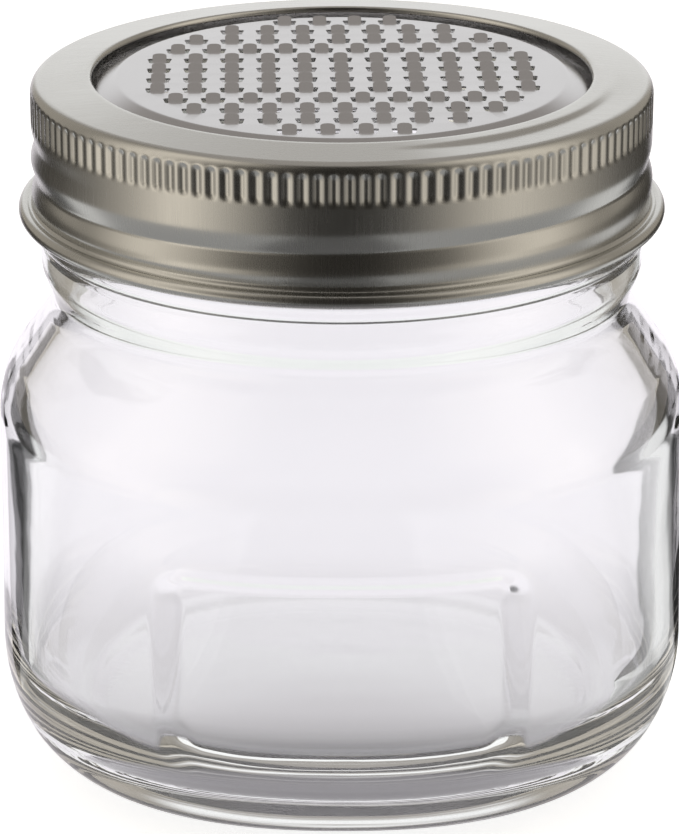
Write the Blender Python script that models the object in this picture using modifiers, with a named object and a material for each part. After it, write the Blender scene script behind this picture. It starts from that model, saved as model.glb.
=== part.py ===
"""Squat glass storage jar with a two-piece lid: a steel screw band that holds a perforated grater disc.

The jar stands on the XY plane with its axis on Z, and its front, with the pressed panel, faces -Y.
Units are metres. Run with blender --background --python part.py, or from the text editor.
"""

import math

import bmesh
import bpy
from mathutils import Matrix, Vector

MM = 0.001

# Faces round the axis, and points on the arcs
columns = 40
arc_steps = 3
heel_steps = 5
merge_distance = 0.01 * MM
overrun = 1.0 * MM
smooth_angle = math.radians(35)

# Glass jar, outside
glass_height = 78.0 * MM
body_radius = 40.1 * MM
body_draft = 0.3 * MM
squareness = 2.3
heel_height = 13.8 * MM
heel_depth = 9.5 * MM
foot_width = 3.2 * MM
push_up = 2.0 * MM
push_up_run = 16.0 * MM
push_up_steps = 2
neck_radius = 33.4 * MM
neck_drop = 4.1 * MM
neck_fillet = 3.9 * MM
shoulder_angle = math.radians(35)
shoulder_round = 10.2 * MM
collar_radius = 34.65 * MM
collar_height = 2.7 * MM
bead_radius = 35.1 * MM
bead_height = 2.1 * MM
finish_radius = 33.6 * MM
rim_round = 1.0 * MM

# Glass jar, inside
body_wall = 2.8 * MM
finish_wall = 4.0 * MM
floor_thickness = 5.2 * MM
floor_crown = 0.8 * MM
inner_heel_height = 10.0 * MM
inner_heel_depth = 9.0 * MM

# Panel pressed into the jar's front
panel_width = 42.2 * MM
panel_height = 23.5 * MM
panel_foot = 10.3 * MM
panel_head_corner = 3.4 * MM
panel_foot_corner = 5.6 * MM
panel_side_bevel = 2.6 * MM
panel_head_bevel = 1.7 * MM
panel_foot_bevel = 3.6 * MM
panel_depth_head = 1.1 * MM
panel_depth_foot = 1.6 * MM
panel_bends = 6

# Grater disc
seat_gap = 0.3 * MM
disc_sheet = 0.4 * MM
disc_overhang = 0.4 * MM
plateau_rise = 1.3 * MM
plateau_play = 2.8 * MM
plateau_slope = math.radians(38)

# Grater teeth: a window with a tongue left in it, which is bent up towards the back
tooth_pitch = 4.17 * MM
tooth_side_margin = 3.4 * MM
tooth_front_margin = 1.7 * MM
window_width = 2.6 * MM
window_length = 1.95 * MM
tongue_width = 1.6 * MM
tongue_sheet = 0.3 * MM
tongue_root = 0.15 * MM
tongue_corner = 0.4 * MM
tongue_angle = math.radians(16)

# Screw band
band_sheet = 0.3 * MM
band_height = 16.0 * MM
opening_radius = 28.5 * MM
lip_round = 0.7 * MM
lip_drop = 0.9 * MM
flange_fall = 0.6 * MM
corner_round = 1.3 * MM
disc_play = 0.85 * MM
bead_gap = 0.4 * MM
curl_radius = 0.82 * MM
curl_reach = 1.65 * MM

# Knurl ribs of the band, left between pressed grooves
rib_count = 132
knurl_drop = 1.25 * MM
knurl_height = 3.65 * MM
knurl_depth = 0.35 * MM
knurl_groove_width = 0.8 * MM

# Rolled thread of the band, right-handed: a V-shaped groove with a low ridge under it
thread_lead = 4.2 * MM
thread_drop = 9.25 * MM
thread_groove = 0.5 * MM
thread_ridge = 0.15 * MM
thread_flank = 2.3 * MM
thread_sharpness = 1.6
thread_turns = 1.25
thread_fade_turns = 0.15
thread_rings = 10
thread_room = 0.9 * MM

# Heights and radii that follow from the sizes above
disc_rim_bottom = glass_height + seat_gap
disc_rim_top = disc_rim_bottom + disc_sheet
plateau_top = disc_rim_top + plateau_rise
disc_radius = finish_radius + disc_overhang
plateau_radius = opening_radius - plateau_play
land_top = disc_rim_top + seat_gap + band_sheet
ring_top = land_top + flange_fall
corner_inner_radius = disc_radius + disc_play
skirt_radius = corner_inner_radius + band_sheet + knurl_depth
curl_bottom = ring_top - band_height
curl_height = curl_bottom + curl_radius
curl_centre = skirt_radius + curl_reach - curl_radius
knurl_top = ring_top - knurl_drop
knurl_bottom = knurl_top - knurl_height
thread_height = ring_top - thread_drop
bead_top = curl_bottom - bead_gap
bead_bottom = bead_top - bead_height
collar_bottom = bead_bottom - collar_height
neck_height = collar_bottom - neck_drop
body_top_radius = body_radius - body_draft
shoulder_reach = body_top_radius - neck_radius
shoulder_slope = (
    shoulder_reach - (neck_fillet + shoulder_round) * (1 - math.cos(shoulder_angle))
) / math.sin(shoulder_angle)
shoulder_height = (
    (neck_fillet + shoulder_round) * math.sin(shoulder_angle)
    + shoulder_slope * math.cos(shoulder_angle)
)
body_top = neck_height - shoulder_height
foot_radius = body_radius - heel_depth


def clear_scene():
    for obj in list(bpy.data.objects):
        bpy.data.objects.remove(obj)
    for group in (bpy.data.meshes, bpy.data.materials, bpy.data.collections):
        for item in list(group):
            group.remove(item)


def new_collection(name):
    collection = bpy.data.collections.new(name)
    bpy.context.scene.collection.children.link(collection)
    return collection


def new_material(name, colour, roughness, metallic, transmission=0.0):
    material = bpy.data.materials.new(name)
    material.use_nodes = True
    shader = material.node_tree.nodes["Principled BSDF"]
    shader.inputs["Base Color"].default_value = (*colour, 1.0)
    shader.inputs["Roughness"].default_value = roughness
    shader.inputs["Metallic"].default_value = metallic
    shader.inputs["Transmission Weight"].default_value = transmission
    return material


def new_object(name, mesh, collection, material=None):
    obj = bpy.data.objects.new(name, mesh)
    collection.objects.link(obj)
    if material:
        mesh.materials.append(material)
    return obj


def add_boolean(obj, other, operation):
    modifier = obj.modifiers.new(other.name, "BOOLEAN")
    modifier.operation = operation
    modifier.object = other
    modifier.solver = "EXACT"


def arc(centre, radius, start, end, steps):
    """Points on a profile's arc, as (distance from the axis, height), with both ends."""
    angles = [math.radians(start + (end - start) * i / steps) for i in range(steps + 1)]
    return [
        (centre[0] + radius * math.cos(a), centre[1] + radius * math.sin(a))
        for a in angles
    ]


def quarter(foot, wall, steps):
    """Points on a quarter ellipse, from its flat foot to where it meets an upright wall."""
    angles = [math.pi / 2 * i / steps for i in range(steps + 1)]
    return [
        (
            foot[0] + (wall[0] - foot[0]) * math.sin(a),
            wall[1] + (foot[1] - wall[1]) * math.cos(a),
        )
        for a in angles
    ]


def smooth(share):
    share = min(max(share, 0.0), 1.0)
    return share * share * (3 - 2 * share)


def plan_factor(angle):
    """How far a softly squared circle reaches at an angle, compared with its reach along X and Y."""
    across = abs(math.cos(angle)) ** squareness
    along = abs(math.sin(angle)) ** squareness
    return (across + along) ** (-1 / squareness)


def turned_mesh(name, profile, closed=False):
    """The profile turned round Z by a Screw modifier, which is then applied."""
    points = [(r, 0.0, z) for r, z in profile]
    edges = [(i, i + 1) for i in range(len(points) - 1)]
    if closed:
        edges.append((len(points) - 1, 0))
    mesh = bpy.data.meshes.new(name + "_profile")
    mesh.from_pydata(points, edges, [])
    obj = bpy.data.objects.new(name + "_profile", mesh)
    bpy.context.scene.collection.objects.link(obj)
    screw = obj.modifiers.new("turn", "SCREW")
    screw.steps = columns
    screw.render_steps = columns
    screw.use_merge_vertices = True
    screw.merge_threshold = merge_distance
    graph = bpy.context.evaluated_depsgraph_get()
    turned = bpy.data.meshes.new_from_object(obj.evaluated_get(graph))
    turned.name = name
    bpy.data.objects.remove(obj)
    turned.shade_smooth()
    turned.set_sharp_from_angle(angle=smooth_angle)
    return turned


def shoulder_points(wall):
    """The S-curve from the body up to the neck, moved in from the outside by a wall."""
    lower = math.degrees(shoulder_angle)
    body_round = arc(
        (body_top_radius - shoulder_round, body_top),
        shoulder_round - wall,
        0,
        lower,
        arc_steps + 1,
    )
    neck_round = arc(
        (neck_radius + neck_fillet, neck_height),
        neck_fillet + wall,
        180 + lower,
        180,
        arc_steps,
    )
    return body_round + neck_round


def jar_profile():
    """From the middle of the floor up the inside, over the rim and down the outside to the push-up."""
    inner_radius = body_radius - body_wall
    mouth_radius = finish_radius - finish_wall
    inside = [(0, floor_thickness + floor_crown)]
    inside += quarter(
        (inner_radius - inner_heel_depth, floor_thickness),
        (inner_radius, floor_thickness + inner_heel_height),
        heel_steps,
    )
    inside += shoulder_points(body_wall)
    inside += [(mouth_radius, bead_bottom)]
    rim = arc(
        (mouth_radius + rim_round, glass_height - rim_round), rim_round, 180, 90, 2
    ) + arc((finish_radius - rim_round, glass_height - rim_round), rim_round, 90, 0, 2)
    bead_half = bead_height / 2
    bead = [(finish_radius, bead_top)] + arc(
        (bead_radius - bead_half, bead_top - bead_half), bead_half, 90, -60, arc_steps
    )
    collar = [(collar_radius, bead_bottom)]
    for i in range(arc_steps + 1):
        ease = (1 + math.cos(math.pi * i / arc_steps)) / 2
        drop = neck_drop * i / arc_steps
        reach = (collar_radius - neck_radius) * ease
        collar.append((neck_radius + reach, collar_bottom - drop))
    shoulder = shoulder_points(0)[::-1][1:]
    heel = quarter((foot_radius, 0), (body_radius, heel_height), heel_steps)[::-1]
    foot_inner = foot_radius - foot_width
    under = []
    for i in range(push_up_steps + 1):
        share = i / push_up_steps
        under.append((foot_inner - push_up_run * share, push_up * smooth(share)))
    under.append((0, push_up))
    return inside + rim + bead + collar + shoulder + heel + under


def square_the_plan(mesh):
    """Round at the neck, softly squared from the shoulder down."""
    for vertex in mesh.vertices:
        x, y, z = vertex.co
        share = smooth((neck_height - z) / (neck_height - body_top))
        factor = 1 + share * (plan_factor(math.atan2(y, x)) - 1)
        vertex.co = (x * factor, y * factor, z)


def front_depth(x):
    """How far the squared body's front lies from the middle plane, at a place across it."""
    reach = 1 - (abs(x) / body_radius) ** squareness
    return body_radius * reach ** (1 / squareness)


def rounded_outline(width, foot, head, foot_corner, head_corner):
    """A rounded rectangle in the XZ plane, as (x, z), anticlockwise from the lower right corner."""
    half = width / 2
    corners = (
        (half - foot_corner, foot + foot_corner, foot_corner, -90),
        (half - head_corner, head - head_corner, head_corner, 0),
        (head_corner - half, head - head_corner, head_corner, 90),
        (foot_corner - half, foot + foot_corner, foot_corner, 180),
    )
    outline = []
    for x, z, corner, start in corners:
        outline += arc((x, z), corner, start, start + 90, arc_steps)
    return outline


def panel_cutter(collection):
    """A plug with drafted sides, bent to the body's plan, whose inner end presses the panel's floor."""
    head = panel_foot + panel_height
    floor_foot = panel_foot + panel_foot_bevel
    floor_head = head - panel_head_bevel
    floor_width = panel_width - 2 * panel_side_bevel
    depth = (panel_depth_head + panel_depth_foot) / 2
    grown = overrun / depth
    outer = rounded_outline(
        panel_width + 2 * panel_side_bevel * grown,
        panel_foot - panel_foot_bevel * grown,
        head + panel_head_bevel * grown,
        panel_foot_corner * (1 + grown / 2),
        panel_head_corner * (1 + grown / 2),
    )
    inner = rounded_outline(
        floor_width, floor_foot, floor_head, panel_foot_corner / 2, panel_head_corner / 2
    )
    mesh = bpy.data.meshes.new("panel_cutter")
    bm = bmesh.new()
    rings = []
    for level, outline in ((overrun, outer), (-depth, inner)):
        ring = [bm.verts.new((x, level, z)) for x, z in outline]
        rings.append([bm.edges.new((a, b)) for a, b in zip(ring, ring[1:] + ring[:1])])
        bm.faces.new(ring)
    bmesh.ops.bridge_loops(bm, edges=rings[0] + rings[1])
    for i in range(1, panel_bends):
        x = floor_width * (i / panel_bends - 1 / 2)
        bmesh.ops.bisect_plane(
            bm,
            geom=bm.verts[:] + bm.edges[:] + bm.faces[:],
            plane_co=(x, 0, 0),
            plane_no=(1, 0, 0),
        )
    for vert in bm.verts:
        share = (vert.co.z - floor_foot) / (floor_head - floor_foot)
        level = vert.co.y
        if level < 0:
            level = -panel_depth_foot + share * (panel_depth_foot - panel_depth_head)
        vert.co.y = -(front_depth(vert.co.x) + level)
    bmesh.ops.recalc_face_normals(bm, faces=bm.faces)
    bm.to_mesh(mesh)
    bm.free()
    return helper(mesh, collection)


def helper(mesh, collection):
    obj = new_object(mesh.name, mesh, collection)
    obj.hide_render = True
    obj.display_type = "WIRE"
    return obj


def make_jar(parts, cutters):
    glass = new_material("clear_glass", (0.93, 0.96, 0.95), 0.03, 0.0, 1.0)
    mesh = turned_mesh("glass_jar", jar_profile())
    square_the_plan(mesh)
    jar = new_object("glass_jar", mesh, parts, glass)
    add_boolean(jar, panel_cutter(cutters), "DIFFERENCE")
    return jar


def disc_profile():
    """From the middle of the plateau's top out to the rim's edge, and back along the underside."""
    run = plateau_rise / math.tan(plateau_slope)
    inset = disc_sheet * math.tan(plateau_slope / 2)
    edge = disc_sheet / 2
    top = [
        (0, plateau_top),
        (plateau_radius, plateau_top),
        (plateau_radius + run, disc_rim_top),
    ]
    rim = arc((disc_radius - edge, disc_rim_top - edge), edge, 90, -90, 2)
    under = [
        (plateau_radius + run - inset, disc_rim_bottom),
        (plateau_radius - inset, plateau_top - disc_sheet),
        (0, plateau_top - disc_sheet),
    ]
    return top + rim + under


def tooth_places():
    """The middle of each window's front edge, row by row, in an ellipse that fits on the plateau."""
    half_width = plateau_radius - tooth_side_margin
    half_length = plateau_radius - tooth_front_margin
    half_rows = math.floor(half_length / tooth_pitch + 1 / 2)
    for row in range(-half_rows, half_rows):
        y = (row + 1 / 2) * tooth_pitch
        reach = half_width * math.sqrt(1 - (y / half_length) ** 2)
        spaces = math.floor(2 * reach / tooth_pitch)
        for i in range(spaces + 1):
            yield (i - spaces / 2) * tooth_pitch, y - window_length / 2


def window_cutter(collection):
    mesh = bpy.data.meshes.new("window_cutter")
    bm = bmesh.new()
    size = Vector((window_width, window_length, disc_sheet + 2 * overrun))
    for x, y in tooth_places():
        place = Vector((x, y + window_length / 2, plateau_top - disc_sheet / 2))
        bmesh.ops.create_cube(bm, size=1.0, matrix=Matrix.LocRotScale(place, None, size))
    bm.to_mesh(mesh)
    bm.free()
    return helper(mesh, collection)


def tongue_maker(collection):
    """A tongue for each window: a strip rooted in its front edge and bent up, with its free corners cut."""
    mesh = bpy.data.meshes.new("tongues")
    bm = bmesh.new()
    length = tongue_root + window_length
    size = Vector((tongue_width, length, tongue_sheet))
    strip = Matrix.LocRotScale(Vector((0, length / 2 - tongue_root, 0)), None, size)
    bend = Matrix.Rotation(tongue_angle, 4, "X")
    for x, y in tooth_places():
        made = bmesh.ops.create_cube(bm, size=1.0, matrix=strip)["verts"]
        free = [v for v in made if v.co.y > 0]
        edges = {e for v in free for e in v.link_edges if e.other_vert(v) in free}
        corners = [e for e in edges if e.verts[0].co.z != e.verts[1].co.z]
        cut = bmesh.ops.bevel(
            bm,
            geom=corners,
            offset=tongue_corner,
            affect="EDGES",
            segments=1,
            profile=0.5,
            material=-1,
        )
        verts = {v for v in made if v.is_valid} | set(cut["verts"])
        place = Matrix.Translation((x, y, plateau_top - disc_sheet / 2))
        bmesh.ops.transform(bm, matrix=place @ bend, verts=list(verts))
    bm.to_mesh(mesh)
    bm.free()
    return helper(mesh, collection)


def make_disc(parts, cutters):
    steel = new_material("bright_steel", (0.78, 0.78, 0.79), 0.22, 1.0)
    disc = new_object(
        "grater_disc", turned_mesh("grater_disc", disc_profile()), parts, steel
    )
    add_boolean(disc, window_cutter(cutters), "DIFFERENCE")
    add_boolean(disc, tongue_maker(cutters), "UNION")
    return disc


def thread_heights():
    """Heights of the rings that carry the rolled thread, from the top down."""
    top = knurl_bottom - band_sheet
    bottom = curl_height + curl_radius + band_sheet
    return [top + (bottom - top) * i / thread_rings for i in range(thread_rings + 1)]


def band_profile():
    """A closed loop: over the lip and the flange, down the skirt, round the curl and up the inside."""
    lip_edge = opening_radius + lip_round
    land_edge = skirt_radius - corner_round
    top = arc((lip_edge, ring_top - lip_round), lip_round, 180, 90, arc_steps)
    top += arc((land_edge, land_top - corner_round), corner_round, 90, 0, arc_steps)
    skirt = [(skirt_radius, z) for z in thread_heights()]
    curl = arc((curl_centre, curl_height), curl_radius, 120, -90, 2 * arc_steps)
    inner_radius = skirt_radius - band_sheet
    inside = [(inner_radius, curl_bottom + band_sheet)]
    inside += [(inner_radius, z) for z in thread_heights()[::-1]]
    inside += [
        (corner_inner_radius, knurl_bottom),
        (corner_inner_radius, knurl_top - band_sheet),
        (land_edge, land_top - band_sheet),
        (lip_edge, ring_top - band_sheet),
        (opening_radius + band_sheet, ring_top - lip_round),
        (opening_radius + band_sheet, ring_top - lip_drop),
        (opening_radius, ring_top - lip_drop),
    ]
    return top + skirt + curl + inside


def thread_wave(angle, z):
    """How far the rolled thread moves the sheet out. The middle of its turns is on the right, at angle 0."""
    moved = 0.0
    for turn in (-1, 0, 1):
        along = angle / (2 * math.pi) + turn
        fade = smooth((thread_turns / 2 - abs(along)) / thread_fade_turns)
        above = z - thread_height - along * thread_lead
        groove = (1 - min(abs(above) / thread_flank, 1.0)) ** thread_sharpness
        ridge = smooth(1 - 2 * abs(above / thread_lead + 1 / 2))
        moved += fade * (thread_ridge * ridge - thread_groove * groove)
    return moved


def roll_the_thread(mesh):
    heights = thread_heights()
    for vertex in mesh.vertices:
        x, y, z = vertex.co
        radius = math.hypot(x, y)
        if radius < corner_inner_radius + merge_distance or not heights[-1] < z < heights[0]:
            continue
        ends = min(heights[0] - z, z - heights[-1]) / thread_room
        factor = 1 + thread_wave(math.atan2(y, x), z) * smooth(ends) / radius
        vertex.co = (x * factor, y * factor, z)


def knurl_cutter(collection):
    """A ring of upright bars with a pointed inner edge, one for each groove between two ribs."""
    mesh = bpy.data.meshes.new("knurl_cutter")
    bm = bmesh.new()
    reach = knurl_depth + overrun
    half_width = knurl_groove_width / 2 * reach / knurl_depth
    pitch = 2 * math.pi / rib_count
    for i in range(rib_count):
        bar = bmesh.ops.create_cone(
            bm,
            cap_ends=True,
            segments=3,
            radius1=1.0,
            radius2=1.0,
            depth=knurl_height,
        )["verts"]
        # The unit triangle points along +Y and reaches 3/2 of its radius from point to base.
        size = Matrix.Diagonal((half_width / math.sin(math.pi / 3), -reach * 2 / 3, 1, 1))
        place = Matrix.Translation((0, skirt_radius - knurl_depth + reach * 2 / 3, 0))
        up = Matrix.Translation((0, 0, (knurl_top + knurl_bottom) / 2))
        turn = Matrix.Rotation(pitch * (i + 1 / 2), 4, "Z")
        bmesh.ops.transform(bm, matrix=turn @ up @ place @ size, verts=bar)
    bmesh.ops.recalc_face_normals(bm, faces=bm.faces)
    bm.to_mesh(mesh)
    bm.free()
    return helper(mesh, collection)


def make_band(parts, cutters):
    steel = new_material("satin_steel", (0.55, 0.54, 0.50), 0.35, 1.0)
    mesh = turned_mesh("screw_band", band_profile(), closed=True)
    roll_the_thread(mesh)
    band = new_object("screw_band", mesh, parts, steel)
    add_boolean(band, knurl_cutter(cutters), "DIFFERENCE")
    return band


def main():
    clear_scene()
    parts = new_collection("storage_jar")
    cutters = new_collection("storage_jar_cutters")
    jar = make_jar(parts, cutters)
    disc = make_disc(parts, cutters)
    band = make_band(parts, cutters)
    for piece in (jar, disc, band):
        print(piece.name, len(piece.data.vertices), "points before its cuts")


main()
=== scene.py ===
# %% [markdown]
# # A glass storage jar with a grater lid
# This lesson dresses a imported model: a squat glass jar, a steel screw band and the grater disc that the
# band holds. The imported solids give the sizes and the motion. Each one is replaced here by a finer mesh of
# the same size, which rides on the same body, so the lid still turns and rises.

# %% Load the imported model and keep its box
import math

import bmesh
import bpy
from mathutils import Matrix, Vector, noise


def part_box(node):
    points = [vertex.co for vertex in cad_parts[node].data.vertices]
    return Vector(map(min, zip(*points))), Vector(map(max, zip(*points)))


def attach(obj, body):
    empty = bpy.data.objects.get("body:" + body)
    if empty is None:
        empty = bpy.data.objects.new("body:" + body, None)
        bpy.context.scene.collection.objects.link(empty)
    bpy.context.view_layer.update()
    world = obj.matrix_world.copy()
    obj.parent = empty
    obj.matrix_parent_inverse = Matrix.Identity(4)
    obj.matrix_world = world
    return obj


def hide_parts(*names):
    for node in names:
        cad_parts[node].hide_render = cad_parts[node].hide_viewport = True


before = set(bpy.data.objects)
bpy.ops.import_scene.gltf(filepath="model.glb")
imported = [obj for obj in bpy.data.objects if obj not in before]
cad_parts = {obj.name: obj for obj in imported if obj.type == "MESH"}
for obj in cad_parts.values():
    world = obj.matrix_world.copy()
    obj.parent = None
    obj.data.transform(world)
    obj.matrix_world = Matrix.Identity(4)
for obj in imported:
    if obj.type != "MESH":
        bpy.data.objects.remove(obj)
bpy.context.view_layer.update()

# %% [markdown]
# ## Sizes
# Everything is in metres, so millimetres get a short name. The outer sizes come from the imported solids.
# The rest are sizes that such a jar has, and each is written once.

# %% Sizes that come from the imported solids
mm = 0.001
jar_low, jar_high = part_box("glass_jar")
band_low, band_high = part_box("screw_band")
disc_low, disc_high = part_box("grater_disc")

body_radius = jar_high.x
glass_height = jar_high.z
disc_radius = disc_high.x
disc_rim_bottom = disc_low.z
curl_reach_radius = band_high.x
band_top = band_high.z
curl_bottom = band_low.z
print("jar from", tuple(jar_low), "to", tuple(jar_high))
print("band from", curl_bottom, "to", band_top)

# %% [markdown]
# ## Camera
# The photograph was taken with a long lens, from above the lid. The place below was found by fitting the
# ellipses of the lid and the outline of the body, so the render can be laid over the photograph.

# %% Camera
scene = bpy.context.scene
camera_place = (-0.26 * mm, -436.5 * mm, 201.1 * mm)
camera_pitch = math.radians(20.48)
lens_length = 171.1
film_width = 36.0
camera_data = bpy.data.cameras.new("camera")
camera_data.lens = lens_length
camera_data.sensor_width = film_width
camera = bpy.data.objects.new("camera", camera_data)
camera.location = camera_place
camera.rotation_euler = (math.pi / 2 - camera_pitch, 0, 0)
scene.collection.objects.link(camera)
scene.camera = camera
print("camera", tuple(camera.location))

# %% [markdown]
# ## Small helpers
# A turned shape starts as a profile: a chain of points, as distance from the axis and height. Straight
# stretches need only their ends, and the round ones are arcs or quarters of an ellipse.


# %% Points on a profile
def arc(centre, radius, start, end, steps):
    """Points on an arc, from one angle in degrees to another, with both ends."""
    angles = [math.radians(start + (end - start) * i / steps) for i in range(steps + 1)]
    return [(centre[0] + radius * math.cos(a), centre[1] + radius * math.sin(a)) for a in angles]


def quarter(foot, wall, steps):
    """Points on a quarter ellipse, from its flat foot to where it meets an upright wall."""
    angles = [math.pi / 2 * i / steps for i in range(steps + 1)]
    across, up = wall[0] - foot[0], foot[1] - wall[1]
    return [(foot[0] + across * math.sin(a), wall[1] + up * math.cos(a)) for a in angles]


def straight(start, end, steps):
    """Points between two ends, without the ends."""
    shares = [i / steps for i in range(1, steps)]
    return [(start[0] + (end[0] - start[0]) * s, start[1] + (end[1] - start[1]) * s) for s in shares]


def smooth(share):
    """An S-curve from 0 to 1, level at both ends."""
    share = min(max(share, 0.0), 1.0)
    return share * share * (3 - 2 * share)


print("a quarter turn in two steps", arc((0, 0), 1, 0, 90, 2))

# %% [markdown]
# A profile becomes a solid skin when it is spun round the axis, as clay is on a wheel. One spin of a
# whole fine mesh is slow, so a narrow sector is spun, and turned copies of it close the circle.


# %% Turn a profile round the axis
sector_steps = 4
merge_distance = 0.002 * mm


def mesh_from(name, bm):
    """A mesh made from a bmesh, which is then freed."""
    mesh = bpy.data.meshes.new(name)
    bm.to_mesh(mesh)
    bm.free()
    return mesh


def turn(profile, arcs, closed=False):
    """A bmesh with the profile spun round Z. Each arc is (degrees, steps), and together they make a turn."""
    whole = bmesh.new()
    start = math.radians(-90 - arcs[0][0] / 2)
    for degrees, steps in arcs:
        sectors = steps // sector_steps
        width = math.radians(degrees) / sectors
        bm = bmesh.new()
        points = [bm.verts.new((r, 0, z)) for r, z in profile]
        lines = [bm.edges.new(pair) for pair in zip(points, points[1:])]
        if closed:
            lines.append(bm.edges.new((points[-1], points[0])))
        shape = {"geom": points + lines, "cent": (0, 0, 0), "axis": (0, 0, 1)}
        bmesh.ops.spin(bm, angle=width, steps=sector_steps, **shape)
        sector = mesh_from("sector", bm)
        sector.transform(Matrix.Rotation(start, 4, "Z"))
        for _ in range(sectors):
            whole.from_mesh(sector)
            sector.transform(Matrix.Rotation(width, 4, "Z"))
        bpy.data.meshes.remove(sector)
        start += math.radians(degrees)
    bmesh.ops.remove_doubles(whole, verts=whole.verts, dist=merge_distance)
    bmesh.ops.recalc_face_normals(whole, faces=whole.faces)
    return whole


print("each sector has", sector_steps, "columns")

# %% [markdown]
# Each finished mesh then becomes an object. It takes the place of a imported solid, rides on the same body
# and says which material slot it fills, so the joints that move the solids move it too.


# %% Finish a piece
def finish_piece(name, bm, material, node, body):
    """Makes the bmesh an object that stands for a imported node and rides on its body."""
    mesh = mesh_from(name, bm)
    mesh.shade_smooth()
    mesh.materials.append(material)
    piece = bpy.data.objects.new(name, mesh)
    scene.collection.objects.link(piece)
    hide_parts(node)
    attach(piece, body)
    print(name, len(mesh.vertices), "points,", len(mesh.polygons), "faces")
    return piece


# %% [markdown]
# ## Glass jar: the profile
# Pressed and blown glass is thick at the heel and thin up the side. The profile starts in the middle of
# the inside floor, climbs the inside, crosses the rim, and comes down the outside: finish, bead under the
# band, collar, waist, shoulder, side, heel, foot ring and the push-up under the floor.

# %% Glass sizes
body_draft = 0.3 * mm
squareness = 2.3
heel_height = 13.8 * mm
heel_depth = 9.5 * mm
foot_width = 3.2 * mm
push_up = 1.0 * mm
push_up_run = 26.0 * mm
neck_radius = 33.4 * mm
neck_drop = 4.1 * mm
neck_fillet = 3.9 * mm
shoulder_angle = math.radians(35)
shoulder_round = 10.2 * mm
collar_radius = 34.65 * mm
collar_height = 2.7 * mm
bead_radius = 35.1 * mm
bead_height = 2.1 * mm
bead_gap = 0.4 * mm
finish_radius = 33.6 * mm
finish_wall = 4.0 * mm
rim_round = 1.0 * mm
body_wall = 2.8 * mm
floor_thickness = 5.2 * mm
floor_crown = 0.8 * mm
inner_heel_height = 10.0 * mm
inner_heel_depth = 9.0 * mm

# %% Heights and radii that follow
bead_top = curl_bottom - bead_gap
bead_bottom = bead_top - bead_height
collar_bottom = bead_bottom - collar_height
neck_height = collar_bottom - neck_drop
body_top_radius = body_radius - body_draft
shoulder_rounds = neck_fillet + shoulder_round
shoulder_slope = (
    body_top_radius - neck_radius - shoulder_rounds * (1 - math.cos(shoulder_angle))
) / math.sin(shoulder_angle)
shoulder_height = shoulder_rounds * math.sin(shoulder_angle) + shoulder_slope * math.cos(shoulder_angle)
body_top = neck_height - shoulder_height
foot_radius = body_radius - heel_depth
mouth_radius = finish_radius - finish_wall
print("neck at", neck_height, "body top at", body_top)

# %% How fine the profile is
floor_steps = 6
inner_heel_steps = 14
inner_side_steps = 8
inner_shoulder_steps = 8
inner_neck_steps = 3
rim_steps = 4
finish_steps = 32
bead_steps = 10
bead_end = -62
collar_steps = 4
neck_steps = 8
shoulder_steps = 10
side_steps = 62
heel_steps = 20
foot_steps = 5
under_steps = 16
print("the side has", side_steps, "rows")


# %% Shoulder curve
def shoulder_points(wall, steps):
    """The S-curve from the body up to the neck, moved in from the outside by a wall."""
    lower = math.degrees(shoulder_angle)
    body_centre = (body_top_radius - shoulder_round, body_top)
    neck_centre = (neck_radius + neck_fillet, neck_height)
    body_round = arc(body_centre, shoulder_round - wall, 0, lower, steps)
    neck_round = arc(neck_centre, neck_fillet + wall, 180 + lower, 180, steps)
    return body_round + neck_round


print("the shoulder ends at", shoulder_points(0, shoulder_steps)[-1])


# %% Inside of the jar
def inside_points():
    """From the middle of the floor up to half of the finish."""
    inner_radius = body_radius - body_wall
    wall_foot = (inner_radius, floor_thickness + inner_heel_height)
    floor_edge = (inner_radius - inner_heel_depth, floor_thickness)
    neck_top = (mouth_radius, bead_bottom)
    shoulder = shoulder_points(body_wall, inner_shoulder_steps)
    points = [(0, floor_thickness + floor_crown)]
    for i in range(1, floor_steps):
        share = i / floor_steps
        points.append((floor_edge[0] * share, floor_thickness + floor_crown * (1 - smooth(share))))
    points += quarter(floor_edge, wall_foot, inner_heel_steps)
    points += straight(wall_foot, shoulder[0], inner_side_steps)
    points += shoulder
    points += straight(shoulder[-1], neck_top, inner_neck_steps)
    points += [neck_top, (mouth_radius, (bead_bottom + glass_height) / 2)]
    return points


print("the inside is drawn with", len(inside_points()), "points")


# %% Outside of the jar
def collar_points():
    """Straight down the collar, then in along half a wave to the neck."""
    points = [(collar_radius, bead_bottom - i * collar_height / collar_steps) for i in range(collar_steps)]
    for i in range(neck_steps + 1):
        ease = (1 + math.cos(math.pi * i / neck_steps)) / 2
        reach = (collar_radius - neck_radius) * ease
        points.append((neck_radius + reach, collar_bottom - neck_drop * i / neck_steps))
    return points


def under_points(foot_inner):
    """From the inner edge of the foot ring to the axis, up over the push-up."""
    points = []
    for i in range(under_steps + 1):
        share = i / under_steps
        points.append((foot_inner * (1 - share), push_up * smooth(share * foot_inner / push_up_run)))
    return points


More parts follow.
